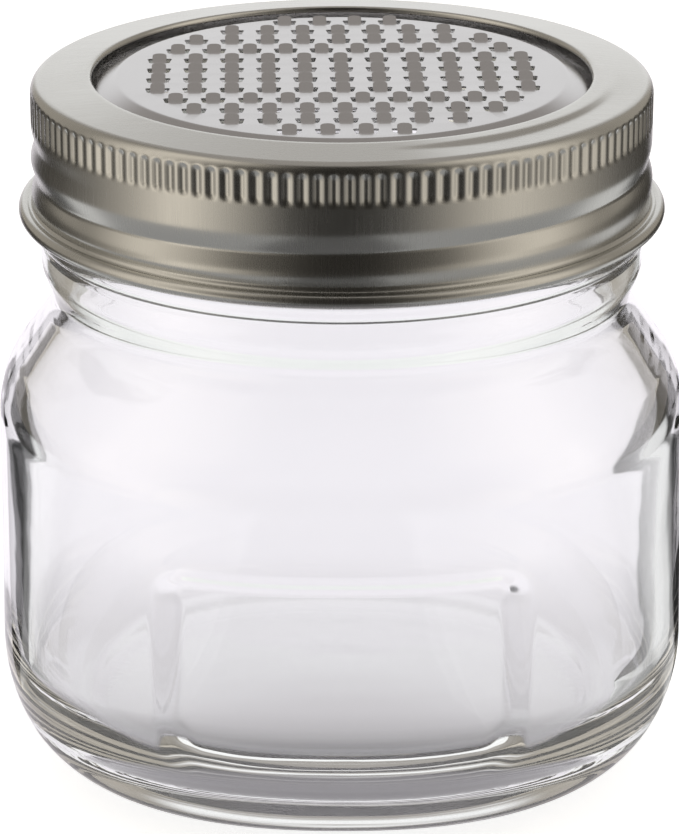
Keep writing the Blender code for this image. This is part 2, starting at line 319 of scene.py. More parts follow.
def outside_points():
    """Over the rim and down the outside, to the middle of the underside."""
    rim = arc((mouth_radius + rim_round, glass_height - rim_round), rim_round, 180, 90, rim_steps)
    rim += arc((finish_radius - rim_round, glass_height - rim_round), rim_round, 90, 0, rim_steps)
    finish = straight(rim[-1], (finish_radius, bead_top), finish_steps)
    bead_half = bead_height / 2
    bead_centre = (bead_radius - bead_half, bead_top - bead_half)
    bead = [(finish_radius, bead_top)]
    bead += arc(bead_centre, bead_half, 90, bead_end, bead_steps)
    shoulder = shoulder_points(0, shoulder_steps)[::-1][1:]
    heel = quarter((foot_radius, 0), (body_radius, heel_height), heel_steps)[::-1]
    side = straight(shoulder[-1], heel[0], side_steps)
    foot_inner = foot_radius - foot_width
    foot = straight(heel[-1], (foot_inner, 0), foot_steps)
    return rim + finish + bead + collar_points() + shoulder + side + heel + foot + under_points(foot_inner)


print("the outside is drawn with", len(outside_points()), "points")

# %% [markdown]
# ## Glass jar: turned, then squared
# The jar is round at its neck and softly square below its shoulder. Turning it first and pushing the
# points out afterwards keeps clean rows, and a superellipse gives the square its soft corners.
# The front gets more columns, because the pressed panel is there.


# %% Square the plan
def plan_factor(angle):
    """How far a softly squared circle reaches at an angle, compared with its reach along X and Y."""
    across = abs(math.cos(angle)) ** squareness
    along = abs(math.sin(angle)) ** squareness
    return (across + along) ** (-1 / squareness)


def round_radius(x, y):
    """How far out a point of the body lay before its plan was squared."""
    return math.hypot(x, y) / plan_factor(math.atan2(y, x))


def square_the_plan(bm):
    """Leaves the neck round, and squares the body more and more down the shoulder."""
    for vert in bm.verts:
        x, y, z = vert.co
        share = smooth((neck_height - z) / (neck_height - body_top))
        factor = 1 + share * (plan_factor(math.atan2(y, x)) - 1)
        vert.co = (x * factor, y * factor, z)


print("a corner reaches", plan_factor(math.pi / 4), "times a side")

# %% [markdown]
# ## Glass jar: the pressed panel
# The front has a plain panel, pressed a little over a millimetre into the glass, with sloped sides. It
# could be cut out with a boolean, but moving the points keeps the clean rows that glass needs. The points
# of the outside go back along Y by a depth that grows down each slope, a little eased at both ends.

# %% Panel sizes
panel_width = 42.2 * mm
panel_foot = 10.3 * mm
panel_head = 33.8 * mm
panel_head_corner = 3.9 * mm
panel_foot_corner = 5.6 * mm
panel_side_bevel = 3.5 * mm
panel_head_bevel = 1.7 * mm
panel_foot_bevel = 3.6 * mm
panel_depth_head = 1.1 * mm
panel_depth_foot = 1.35 * mm
panel_softness = 0.25
print("panel", panel_width, "wide and", panel_head - panel_foot, "tall")


# %% Press the panel
def panel_share(x, z):
    """From 0 at the panel's outline to 1 where its floor starts, and more on the floor."""
    middle = (panel_foot + panel_head) / 2
    high = z > middle
    end_bevel = panel_head_bevel if high else panel_foot_bevel
    corner = panel_head_corner if high else panel_foot_corner
    to_side = panel_width / 2 - abs(x)
    to_end = (panel_head - panel_foot) / 2 - abs(z - middle)
    if to_side >= corner or to_end >= corner:
        return min(to_side / panel_side_bevel, to_end / end_bevel)
    across, along = corner - to_side, corner - to_end
    reach = math.hypot(across, along)
    turn_share = math.atan2(along, across) / (math.pi / 2)
    bevel = panel_side_bevel + turn_share * (end_bevel - panel_side_bevel)
    return (corner - reach) / bevel


def press_panel(bm):
    """Moves the front's outer skin only, which lies outside the wall's middle."""
    wall_middle = body_radius - body_wall / 2
    for vert in bm.verts:
        x, y, z = vert.co
        if y > 0 or abs(x) > panel_width / 2 or not panel_foot < z < panel_head:
            continue
        if round_radius(x, y) < wall_middle:
            continue
        height_share = (z - panel_foot) / (panel_head - panel_foot)
        depth = panel_depth_foot + height_share * (panel_depth_head - panel_depth_foot)
        share = min(max(panel_share(x, z), 0.0), 1.0)
        vert.co.y += depth * (share + (smooth(share) - share) * panel_softness)


print("share in the panel's middle", panel_share(0, (panel_foot + panel_head) / 2))

# %% [markdown]
# ## Glass jar: thread and foot ring
# Under the band the finish carries a right-hand thread: a ridge of glass that climbs round the neck for
# a little over one turn. It shows when the lid is off. The foot ring has small radial dents, which keep
# the hot jar from sticking, and they glint through the glass at the heel.

# %% Thread and dents
thread_lead = 4.2 * mm
thread_drop = 12.4 * mm
thread_height = band_top - thread_drop
thread_ridge = 0.95 * mm
thread_width = 2.4 * mm
thread_turns = 1.4
thread_fade_turns = 0.08
foot_dents = 96
foot_dent_depth = 0.025 * mm
foot_dent_margin_share = 0.05
foot_flatness = 0.01 * mm


def raise_thread(bm):
    """Moves the finish out along a ridge, which fades at both of its ends."""
    for vert in bm.verts:
        x, y, z = vert.co
        radius = math.hypot(x, y)
        if radius < finish_radius - rim_round / 2 or not bead_top < z < glass_height - rim_round:
            continue
        for turn_number in (-1, 0, 1):
            along = (math.atan2(y, x) + math.pi / 2) / (2 * math.pi) + turn_number
            fade = smooth((thread_turns / 2 - abs(along)) / thread_fade_turns)
            off = abs(z - thread_height - along * thread_lead) / (thread_width / 2)
            room = smooth((z - bead_top) / rim_round) * smooth((glass_height - rim_round - z) / rim_round)
            if fade and off < 1:
                factor = 1 + thread_ridge * fade * room * (1 + math.cos(math.pi * off)) / 2 / radius
                vert.co.x *= factor
                vert.co.y *= factor


def dent_foot(bm):
    """Lifts the flat of the foot ring in small waves, between its two edges."""
    inner = foot_radius - foot_width
    for vert in bm.verts:
        x, y, z = vert.co
        share = (round_radius(x, y) - inner) / foot_width
        if z < foot_flatness and foot_dent_margin_share < share < 1 - foot_dent_margin_share:
            wave = max(0.0, math.cos(foot_dents * math.atan2(y, x)))
            vert.co.z = foot_dent_depth * wave * math.sin(math.pi * share)


print("a thread of", thread_turns, "turns, its middle at", thread_height)

# %% [markdown]
# ## Glass jar: the wavy inside
# The outside of the glass touched an iron mould and is true, but the inside was blown by air and set as
# it liked. A slow noise moves the inner skin by less than a tenth of a millimetre. So small a wave can't
# be seen as a shape, but light that passes both skins bends unevenly, as it does in a real jar.

# %% Wave the inner skin
wave_length = 14.0 * mm
wave_height = 0.09 * mm
outer_skin = 2.0 * mm
floor_play = 1.0 * mm
floor_zone = 3.0 * mm


def wave_inside(bm):
    """Moves the floor up or down, and the rest of the inner skin in or out."""
    for vert in bm.verts:
        x, y, z = vert.co
        if round_radius(x, y) > body_radius - outer_skin:
            continue
        if not floor_thickness - floor_play < z < neck_height:
            continue
        fade = smooth((neck_height - z) / (neck_height - body_top))
        offset = wave_height * fade * noise.noise(Vector((x, y, z)) / wave_length)
        on_wall = z > floor_thickness + floor_zone
        direction = Vector((x, y, 0)).normalized() if on_wall else Vector((0, 0, 1))
        vert.co += direction * offset


print("the inner skin waves by up to", wave_height)

# %% Build the jar's mesh
front_arc = (76, 148)
rear_arc = (284, 228)


def build_jar():
    """The whole jar. Its front arc has the finer columns, for the panel."""
    bm = turn(inside_points() + outside_points(), (front_arc, rear_arc))
    square_the_plan(bm)
    wave_inside(bm)
    press_panel(bm)
    raise_thread(bm)
    dent_foot(bm)
    return bm


print("the jar has", front_arc[1] + rear_arc[1], "columns")

# %% [markdown]
# ## Glass
# Clear glass is a Principled BSDF with full transmission. Its own colour is nearly none: what one sees
# is bent light. A slow ripple in the normal, as pressed glass has, keeps the dark edges from being too
# clean. Moving points could make it too, but a bump needs no finer mesh.

# %% Ripple group
swell_scale = 160
swell_detail = 1
swell_height = 0.3 * mm


def new_group(name, inputs, outputs):
    """An empty shader group, and its input and output nodes."""
    group = bpy.data.node_groups.new(name, "ShaderNodeTree")
    for label in inputs:
        group.interface.new_socket(label, in_out="INPUT", socket_type="NodeSocketFloat")
    for label, kind in outputs:
        group.interface.new_socket(label, in_out="OUTPUT", socket_type=kind)
    return group, group.nodes.new("NodeGroupInput"), group.nodes.new("NodeGroupOutput")


def build_ripple_group():
    """A normal that slow swells of noise tilt a little."""
    group, given, made = new_group("glass_ripple", ("Swell",), (("Normal", "NodeSocketVector"),))
    nodes, links = group.nodes, group.links
    place = nodes.new("ShaderNodeTexCoord")
    texture = nodes.new("ShaderNodeTexNoise")
    texture.inputs["Scale"].default_value = swell_scale
    texture.inputs["Detail"].default_value = swell_detail
    links.new(place.outputs["Object"], texture.inputs["Vector"])
    bump = nodes.new("ShaderNodeBump")
    bump.inputs["Distance"].default_value = swell_height
    links.new(texture.outputs["Fac"], bump.inputs["Height"])
    links.new(given.outputs["Swell"], bump.inputs["Strength"])
    links.new(bump.outputs["Normal"], made.inputs["Normal"])
    return group


ripple = build_ripple_group()
print("made the group", ripple.name)


# %% Materials share one start
def new_material(name, colour, roughness, metallic):
    """A material, and its Principled BSDF for what else it needs."""
    material = bpy.data.materials.new(name)
    material.use_nodes = True
    shader = material.node_tree.nodes["Principled BSDF"]
    shader.inputs["Base Color"].default_value = (*colour, 1.0)
    shader.inputs["Roughness"].default_value = roughness
    shader.inputs["Metallic"].default_value = metallic
    return material, shader


def add_group(material, group, **values):
    """A group's node in a material, with values for its inputs."""
    node = material.node_tree.nodes.new("ShaderNodeGroup")
    node.node_tree = group
    for label, value in values.items():
        node.inputs[label].default_value = value
    return node


# %% Clear glass
glass_colour = (0.975, 0.985, 0.98)
glass_ior = 1.52
glass_swell = 0.06
glass, glass_shader = new_material("clear_glass", glass_colour, roughness=0.0, metallic=0.0)
glass_shader.inputs["Transmission Weight"].default_value = 1.0
glass_shader.inputs["IOR"].default_value = glass_ior
glass_normal = add_group(glass, ripple, Swell=glass_swell)
glass.node_tree.links.new(glass_normal.outputs["Normal"], glass_shader.inputs["Normal"])
print("glass of index", glass_ior)

# %% Glass jar
finish_piece("glass_jar_skin", build_jar(), glass, "glass_jar", "jar")

# %% [markdown]
# ## Screw band: the profile
# The band is one piece of thin sheet, rolled over: a rolled-down lip round the window, a flange that falls
# a little outwards, a rounded corner, the skirt, and an outward curl at its foot. The profile is a closed
# loop, down the outside and up the inside, so the sheet has its real thickness from the start.

# %% Band sizes
band_sheet = 0.3 * mm
opening_radius = 28.5 * mm
lip_round = 0.45 * mm
lip_drop = 0.65 * mm
flange_crown = 0.3 * mm
flange_fall = 0.5 * mm
corner_round = 1.3 * mm
curl_radius = 0.82 * mm
curl_reach = 1.65 * mm
knurl_depth = 0.24 * mm
knurl_drop = 0.95 * mm
knurl_fade = 0.9 * mm
knurl_height = 3.95 * mm
rib_count = 132
columns_a_rib = 6

ring_top = band_top + flange_crown
land_top = ring_top - flange_fall
skirt_radius = curl_reach_radius - curl_reach
corner_inner_radius = skirt_radius - knurl_depth - band_sheet
lip_edge = opening_radius + lip_round
land_edge = skirt_radius - corner_round
curl_height = curl_bottom + curl_radius
curl_centre = curl_reach_radius - curl_radius
knurl_top = band_top - knurl_drop
knurl_bottom = knurl_top - knurl_height
thread_top = knurl_bottom - band_sheet
thread_foot = curl_height + curl_radius + band_sheet
print("skirt radius", skirt_radius, "knurl", knurl_bottom, "to", knurl_top)


# %% Band profile
lip_steps = 6
flange_steps = 14
corner_steps = 9
knurl_steps = 12
thread_steps = 30
inner_thread_steps = 8
curl_ends = (130, -140)
curl_steps = 14


def band_points():
    """The closed loop, from the lip over the flange, down the skirt, round the curl and up the inside."""
    top = arc((lip_edge, ring_top - lip_round), lip_round, 180, 90, lip_steps)
    top += straight((lip_edge, ring_top), (land_edge, land_top), flange_steps)
    top += arc((land_edge, land_top - corner_round), corner_round, 90, 0, corner_steps)
    skirt = straight(top[-1], (skirt_radius, thread_top), knurl_steps)
    skirt += [(skirt_radius, thread_top)]
    skirt += straight(skirt[-1], (skirt_radius, thread_foot), thread_steps)
    skirt += [(skirt_radius, thread_foot)]
    curl = arc((curl_centre, curl_height), curl_radius, *curl_ends, curl_steps)
    inner = skirt_radius - band_sheet
    inside = [(inner, curl_bottom + band_sheet), (inner, thread_foot)]
    inside += straight(inside[-1], (inner, thread_top), inner_thread_steps)
    inside += [
        (inner, thread_top),
        (corner_inner_radius, knurl_bottom),
        (corner_inner_radius, knurl_top - band_sheet),
        (land_edge, land_top - band_sheet),
        (lip_edge, ring_top - band_sheet),
        (opening_radius + band_sheet, ring_top - lip_round),
        (opening_radius + band_sheet, ring_top - lip_drop),
        (opening_radius, ring_top - lip_drop),
    ]
    return top + skirt + curl + inside


print("the band's loop has", len(band_points()), "points")

# %% [markdown]
# ## Screw band: knurl and rolled thread
# Two rolls formed the skirt. One pressed upright grooves into its top, which leave 132 ribs to grip. The
# other rolled a right-hand wave, which catches the thread of the glass. Both move the points of the
# turned mesh towards the axis or away from it, as the rolls moved the sheet.

# %% Knurl and thread
band_thread_drop = 9.25 * mm
band_thread_height = band_top - band_thread_drop
band_thread_groove = 0.5 * mm
band_thread_ridge = 0.15 * mm
band_thread_flank = 2.3 * mm
band_thread_turns = 1.25
band_thread_fade = 0.15
band_thread_sharpness = 1.6
band_thread_room = 0.9 * mm
inner_skin_play = 0.02 * mm
knurl_end = 0.5 * mm
groove_share = 0.62
groove_flatness = 1.6


def thread_wave(angle, z):
    """How far the rolled thread moves the sheet out. Its middle is on the right, at angle 0."""
    moved = 0.0
    for turn_number in (-1, 0, 1):
        along = angle / (2 * math.pi) + turn_number
        fade = smooth((band_thread_turns / 2 - abs(along)) / band_thread_fade)
        above = z - band_thread_height - along * thread_lead
        flank = min(abs(above) / band_thread_flank, 1.0)
        ridge = max(0.0, 1 - abs(above / thread_lead + 0.5) * 2)
        groove = (1 - flank) ** band_thread_sharpness
        moved += fade * (band_thread_ridge * smooth(ridge) - band_thread_groove * groove)
    return moved


def knurl_wave(angle, z):
    """How far a pressed groove moves the sheet in."""
    to_rib = abs((angle / (2 * math.pi) * rib_count) % 1 - 0.5)
    groove = smooth(groove_flatness * (1 - to_rib / (groove_share / 2)))
    ends = smooth((knurl_top - z) / knurl_fade) * smooth((z - knurl_bottom) / knurl_end)
    return knurl_depth * groove * ends


def form_skirt(bm):
    """Rolls the thread into both skins, and presses the grooves into the outer one."""
    for vert in bm.verts:
        x, y, z = vert.co
        radius = math.hypot(x, y)
        angle = math.atan2(y, x)
        if radius < skirt_radius - band_sheet - inner_skin_play:
            continue
        moved = 0.0
        if thread_foot < z < thread_top:
            ends = min(thread_top - z, z - thread_foot)
            moved = thread_wave(angle, z) * smooth(ends / band_thread_room)
        elif z > knurl_bottom and radius > skirt_radius - knurl_depth:
            moved = min(0.0, skirt_radius - knurl_wave(angle, z) - radius)
        vert.co.x *= 1 + moved / radius
        vert.co.y *= 1 + moved / radius


print("a groove goes in by", knurl_wave(math.pi / rib_count, (knurl_top + knurl_bottom) / 2))

# %% [markdown]
# The flange was pressed too, and not evenly: on the right of the front it has a sharp little step, which
# runs out at both ends. The step has the same fall as the slope that it replaces, so both meet the corner.

# %% Step in the flange
step_middle = 31.0 * mm
step_width = 0.8 * mm
step_share = 0.75
step_angles = ((-82, -58), (-26, 4))


def step_flange(bm):
    """Trades part of the even slope for a step, between the angles at which it runs out."""
    for vert in bm.verts:
        x, y, z = vert.co
        radius = math.hypot(x, y)
        if not lip_edge < radius < land_edge or z < land_top:
            continue
        degrees = math.degrees(math.atan2(y, x))
        (start, full), (fading, end) = step_angles
        share = smooth((degrees - start) / (full - start)) * smooth((end - degrees) / (end - fading))
        even = (radius - lip_edge) / (land_edge - lip_edge)
        stepped = smooth((radius - step_middle) / step_width + 0.5)
        vert.co.z += flange_fall * share * step_share * (even - stepped)


def build_band():
    """The whole band, with its columns in step with the ribs."""
    bm = turn(band_points(), ((360, rib_count * columns_a_rib),), closed=True)
    form_skirt(bm)
    step_flange(bm)
    return bm


print("the band has", rib_count * columns_a_rib, "columns")

# %% [markdown]
# ## Steel
# Both steel pieces are rolled sheet. Rolling leaves fine streaks, which stretch the highlights, and
# handling leaves soft smudges, which change the roughness a little. Noise makes both without an image:
# stretched for the streaks, even for the smudges. One group holds it, with each material's own values.

# %% Steel group
upright_scale = (260, 160, 1)
across_scale = (120, 5200, 1)
streak_detail = 2
streak_bump = 0.3
smudge_scale = (90, 90, 90)
smudge_detail = 4


def add_math(tree, operation, *values):
    """A math node, whose inputs are sockets or numbers."""
    node = tree.nodes.new("ShaderNodeMath")
    node.operation = operation
    for socket, value in zip(node.inputs, values):
        if isinstance(value, (int, float)):
            socket.default_value = value
        else:
            tree.links.new(value, socket)
    return node.outputs["Value"]


def add_parts(tree, place):
    """The X, Y and Z of a place."""
    node = tree.nodes.new("ShaderNodeSeparateXYZ")
    tree.links.new(place, node.inputs["Vector"])
    return node.outputs["X"], node.outputs["Y"], node.outputs["Z"]


def add_noise(tree, place, scale, detail):
    """Noise on a place that is stretched by a scale for each axis."""
    stretch = tree.nodes.new("ShaderNodeMapping")
    stretch.inputs["Scale"].default_value = scale
    tree.links.new(place, stretch.inputs["Vector"])
    texture = tree.nodes.new("ShaderNodeTexNoise")
    texture.inputs["Scale"].default_value = 1.0
    texture.inputs["Detail"].default_value = detail
    tree.links.new(stretch.outputs["Vector"], texture.inputs["Vector"])
    return texture.outputs["Fac"]


def build_steel_group():
    """Streaks upright on the skirt and straight across the flat top, with smudges over both."""
    group, given, made = new_group(
        "rolled_steel",
        ("Roughness", "Smudge", "Streak", "Top"),
        (("Roughness", "NodeSocketFloat"), ("Height", "NodeSocketFloat")),
    )
    nodes, links = group.nodes, group.links
    place = nodes.new("ShaderNodeTexCoord").outputs["Object"]
    x, y, z = add_parts(group, place)
    around = nodes.new("ShaderNodeCombineXYZ")
    links.new(add_math(group, "ARCTAN2", y, x), around.inputs["X"])
    links.new(z, around.inputs["Y"])
    upright = add_noise(group, around.outputs["Vector"], upright_scale, streak_detail)
    across = add_noise(group, place, across_scale, streak_detail)
    on_top = add_math(group, "GREATER_THAN", z, given.outputs["Top"])
    streaks = nodes.new("ShaderNodeMix")
    links.new(on_top, streaks.inputs["Factor"])
    links.new(upright, streaks.inputs["A"])
    links.new(across, streaks.inputs["B"])
    streak = add_math(group, "SUBTRACT", streaks.outputs["Result"], 0.5)
    smudge = add_math(group, "SUBTRACT", add_noise(group, place, smudge_scale, smudge_detail), 0.5)
    streaked = add_math(group, "MULTIPLY_ADD", streak, given.outputs["Streak"], given.outputs["Roughness"])
    smudged = add_math(group, "MULTIPLY_ADD", smudge, given.outputs["Smudge"], streaked)
    links.new(smudged, made.inputs["Roughness"])
    links.new(streak, made.inputs["Height"])
    return group


def steel_material(name, colour, roughness, smudge, streak, bump_distance, top):
    """Rolled steel, whose streaks also dent it. Above the height top they run straight across."""
    material, shader = new_material(name, colour, roughness, metallic=1.0)
    links = material.node_tree.links
    rolled = add_group(material, steel, Roughness=roughness, Smudge=smudge, Streak=streak, Top=top)
    links.new(rolled.outputs["Roughness"], shader.inputs["Roughness"])
    bump = material.node_tree.nodes.new("ShaderNodeBump")
    bump.inputs["Strength"].default_value = streak_bump
    bump.inputs["Distance"].default_value = bump_distance
    links.new(rolled.outputs["Height"], bump.inputs["Height"])
    links.new(bump.outputs["Normal"], shader.inputs["Normal"])
    return material


steel = build_steel_group()
print("made the group", steel.name)

# %% Screw band
satin_colour = (0.60, 0.595, 0.57)
satin_look = {"roughness": 0.26, "smudge": 0.08, "streak": 0.12, "bump_distance": 0.004 * mm}
satin = steel_material("satin_steel", satin_colour, top=knurl_top, **satin_look)
finish_piece("screw_band_skin", build_band(), satin, "screw_band", "band")

# %% [markdown]
# ## Grater disc: one tooth
# Each tooth is a window punched through the sheet, with a tongue left in it. The tongue stays rooted in
# the window's front edge and is bent up towards the back, so it bites when food is rubbed over it. The
# sheet in front of the root lifts a little too. One tooth is made as an open surface, which is easy to
# shape, and all get their thickness together.

# %% Tooth sizes
disc_sheet = 0.24 * mm
field_turn = math.radians(1.4)
plateau_rise = 1.18 * mm
plateau_play = 2.8 * mm
plateau_slope = math.radians(21)
plateau_bend = 0.5 * mm
tooth_pitch = 4.17 * mm
tooth_side_margin = 3.4 * mm
tooth_front_margin = 1.7 * mm
window_width = 2.8 * mm
window_front_share = 0.86
window_length = 1.95 * mm
window_corner = 0.25 * mm
window_front_corner = 0.3 * mm
apron_length = 0.48 * mm
apron_flank_share = 0.17
apron_lift = 0.07 * mm
tongue_width = 1.62 * mm
tongue_tip = 0.35 * mm
tongue_arch = 0.28 * mm
tongue_stretch_share = 1.1
tongue_rise = 0.6 * mm
tongue_crown = 0.05 * mm
tip_power = 3
disc_rim_top = disc_rim_bottom + disc_sheet
plateau_top = disc_rim_top + plateau_rise
plateau_radius = opening_radius - plateau_play
print("plateau", 2 * plateau_radius, "wide, its top at", plateau_top)

# %% How fine a tooth is
tongue_columns = 6
tongue_rows = 9
apron_rows = 3
column_power = 0.45
row_power = 1.6
last_row_share = 0.985
side_column_share = 0.99
front_corner_steps = 3
back_corner_steps = 2


# %% Model one tooth
def tongue_place(across, along):
    """A point of the tongue, from shares across it (-1 to 1) and along it (0 at the root, 1 at the tip)."""
    length = window_length * tongue_stretch_share
    straight_share = 1 - tongue_tip / length
    past = max(0.0, (along - straight_share) / (1 - straight_share))
    width = (1 - past**tip_power) ** (1 / tip_power)
    off = across * width
    crown = tongue_crown * along * (1 - off**2)
    rise = apron_lift + (tongue_rise - apron_lift - tongue_crown) * along + crown
    return off * tongue_width / 2, along * (length - tongue_arch * off**2), rise


def tooth_mesh():
    """A tooth whose window has its front edge on Y = 0. The edges round it are marked as seams."""
    bm = bmesh.new()
    unit = Matrix.Diagonal((2, tongue_rows, 1, 1))
    segments = {"x_segments": tongue_columns, "y_segments": tongue_rows}
    made = bmesh.ops.create_grid(bm, size=0.5, matrix=unit, **segments)
    half_rows = tongue_rows / 2
    outline = []
    for vert in made["verts"]:
        across = math.copysign(abs(vert.co.x) ** column_power, vert.co.x)
        row = round(vert.co.y + half_rows) - apron_rows
        if row <= 0:
            flank = smooth((1 - abs(across)) / apron_flank_share)
            lift = apron_lift * (1 + row / apron_rows) * flank
            vert.co = (across * tongue_width / 2, apron_length * row / apron_rows, lift)
            if row == -apron_rows or abs(across) > side_column_share:
                outline.append(vert)
        else:
            left = 1 - row / (tongue_rows - apron_rows)
            vert.co = tongue_place(across, last_row_share * (1 - left**row_power))
    for edge in bm.edges:
        edge.seam = edge.is_boundary and all(v in outline for v in edge.verts)
    root = [v for v in outline if v.co.y == 0]
    root.sort(key=lambda v: v.co.x)
    half, front, back = window_width / 2, window_front_corner, window_corner
    front_half = half * window_front_share
    corners = arc((-front_half + front, front), front, 270, 180, front_corner_steps)
    corners += arc((-half + back, window_length - back), back, 180, 90, back_corner_steps)
    corners += arc((half - back, window_length - back), back, 90, 0, back_corner_steps)
    corners += arc((front_half - front, front), front, 360, 270, front_corner_steps)
    chain = [root[0]] + [bm.verts.new((x, y, 0)) for x, y in corners] + [root[-1]]
    for pair in zip(chain, chain[1:]):
        bm.edges.new(pair).seam = True
    return mesh_from("tooth", bm)


print("a tongue's middle is at", tongue_place(0, 0.5))

# %% [markdown]
# ## Grater disc: the plate
# The teeth stand in twelve rows on a raised plateau. A boolean could cut their windows, but one flat fill
# from the outlines of the teeth to the plateau's edge uses their own points. The slope and the flat rim
# are extruded from there. The rows lie a little turned, as a round disc can turn in its band.

# %% Plate
plateau_segments = 240
bend_steps = 5


def tooth_places():
    """The middle of each window's front edge, row by row, in an ellipse that fits on the plateau."""
    half_width = plateau_radius - tooth_side_margin
    half_length = plateau_radius - tooth_front_margin
    half_rows = math.floor(half_length / tooth_pitch + 1 / 2)
    for row in range(-half_rows, half_rows):
        y = (row + 1 / 2) * tooth_pitch
        reach = half_width * math.sqrt(1 - (y / half_length) ** 2)
        spaces = math.floor(2 * reach / tooth_pitch)
        for i in range(spaces + 1):
            yield (i - spaces / 2) * tooth_pitch, y - window_length / 2


print("the disc has", len(list(tooth_places())), "teeth")


# %% Whole disc
def build_disc():
    """Teeth, plate, slope and rim as one open surface, which then gets its thickness."""
    bm = bmesh.new()
    tooth = tooth_mesh()
    for x, y in tooth_places():
        before = set(bm.verts)
        bm.from_mesh(tooth)
        made = [v for v in bm.verts if v not in before]
        bmesh.ops.translate(bm, vec=(x, y, plateau_top), verts=made)
    bpy.data.meshes.remove(tooth)
    bmesh.ops.rotate(bm, matrix=Matrix.Rotation(field_turn, 3, "Z"), verts=bm.verts)
    place = Matrix.Translation((0, 0, plateau_top))
    edge_radius = plateau_radius - plateau_bend / 2
    bmesh.ops.create_circle(bm, segments=plateau_segments, radius=edge_radius, matrix=place)
    rim = [e for e in bm.edges if not e.link_faces and not e.seam]
    outline = [e for e in bm.edges if e.seam]
    bmesh.ops.triangle_fill(bm, use_beauty=True, edges=rim + outline, normal=(0, 0, 1))
    extrude_rings(bm, rim, edge_radius, disc_side_points())
    bmesh.ops.recalc_face_normals(bm, faces=bm.faces)
    if sum(f.normal.z for f in bm.faces) < 0:
        bmesh.ops.reverse_faces(bm, faces=bm.faces)
    bmesh.ops.solidify(bm, geom=bm.faces[:], thickness=disc_sheet)
    return bm


# %% Slope and rim of the disc
def disc_side_points():
    """From the plateau's edge down the slope and out over the rim, with rounded bends."""
    slope = math.degrees(plateau_slope)
    bend = plateau_bend / 2 / math.tan(plateau_slope / 2)
    run = plateau_rise / math.tan(plateau_slope)
    foot = plateau_radius + run
    upper = arc((plateau_radius - plateau_bend / 2, plateau_top - bend), bend, 90, 90 - slope, bend_steps)
    lower = arc((foot + plateau_bend / 2, disc_rim_top + bend), bend, 270 - slope, 270, bend_steps)
    return upper[1:] + lower + [(disc_radius, disc_rim_top)]


def extrude_rings(bm, ring, radius, points):
    """Extrudes a ring of edges from one point of a profile to the next."""
    height = plateau_top
    for r, z in points:
        extruded = bmesh.ops.extrude_edge_only(bm, edges=ring)["geom"]
        verts = [g for g in extruded if isinstance(g, bmesh.types.BMVert)]
        edges = [g for g in extruded if isinstance(g, bmesh.types.BMEdge)]
        ring = [e for e in edges if all(v in verts for v in e.verts)]
        bmesh.ops.scale(bm, vec=(r / radius, r / radius, 1), verts=verts)
        bmesh.ops.translate(bm, vec=(0, 0, z - height), verts=verts)
        radius, height = r, z


print("the slope ends at", disc_side_points()[-2])

# %% Grater disc
bright_colour = (0.535, 0.525, 0.53)
bright_look = {"roughness": 0.2, "smudge": 0.08, "streak": 0.05, "bump_distance": 0.002 * mm}
bright = steel_material("bright_steel", bright_colour, top=0.0, **bright_look)
sharp_angle = math.radians(35)
disc = finish_piece("grater_disc_skin", build_disc(), bright, "grater_disc", "disc")
disc.data.set_sharp_from_angle(angle=sharp_angle)
print("the teeth reach up to", max(v.co.z for v in disc.data.vertices))

# %% [markdown]
# ## Studio
# To the camera the jar stands on a white floor before a white wall, with a faint shadow from one soft
# lamp above it, which only the floor sees. Clear glass and steel show only what is round them, so the
# rays that they bend or reflect see a studio of their own: a bright paper sweep behind the jar, a narrow
# dark gap on each side of it, bright sides beyond, and a dim front. The gaps draw the dark edges of the
# glass. The floor holds the near part of that studio by place, and the world the rest by direction.
# Under the jar the sweep is painted darker, as the shadow of the jar and its lid.

# %% Shader helpers
def add_range(tree, value, ends, levels=(0.0, 1.0)):
    """A smooth step from one level to another, between two ends."""
    node = tree.nodes.new("ShaderNodeMapRange")
    node.interpolation_type = "SMOOTHSTEP"
    node.inputs["From Min"].default_value, node.inputs["From Max"].default_value = ends
    node.inputs["To Min"].default_value, node.inputs["To Max"].default_value = levels
    tree.links.new(value, node.inputs["Value"])
    return node.outputs["Result"]


def add_ramp(tree, value, low, high, points):
    """Levels along a value, as (value, level) points that a straight line joins."""
    share = tree.nodes.new("ShaderNodeMapRange")
    share.inputs["From Min"].default_value, share.inputs["From Max"].default_value = low, high
    tree.links.new(value, share.inputs["Value"])
    ramp = tree.nodes.new("ShaderNodeValToRGB")
    stops = ramp.color_ramp.elements
    stops.remove(stops[1])
    for i, (place, level) in enumerate(points):
        stop = stops[0] if i == 0 else stops.new((place - low) / (high - low))
        stop.position = (place - low) / (high - low)
        stop.color = (level, level, level, 1)
    tree.links.new(share.outputs["Result"], ramp.inputs["Fac"])
    return ramp.outputs["Color"]


def add_emission(tree, strength, colour=(1, 1, 1)):
    """A glow, whose strength is a socket or a number."""
    node = tree.nodes.new("ShaderNodeEmission")
    node.inputs["Color"].default_value = (*colour, 1)
    if isinstance(strength, (int, float)):
        node.inputs["Strength"].default_value = strength
    else:
        tree.links.new(strength, node.inputs["Strength"])
    return node.outputs["Emission"]


def add_shader_mix(tree, share, first, second):
    """The first shader where the share is 0, and the second where it is 1."""
    node = tree.nodes.new("ShaderNodeMixShader")
    tree.links.new(share, node.inputs["Fac"])
    tree.links.new(first, node.inputs[1])
    tree.links.new(second, node.inputs[2])
    return node.outputs["Shader"]


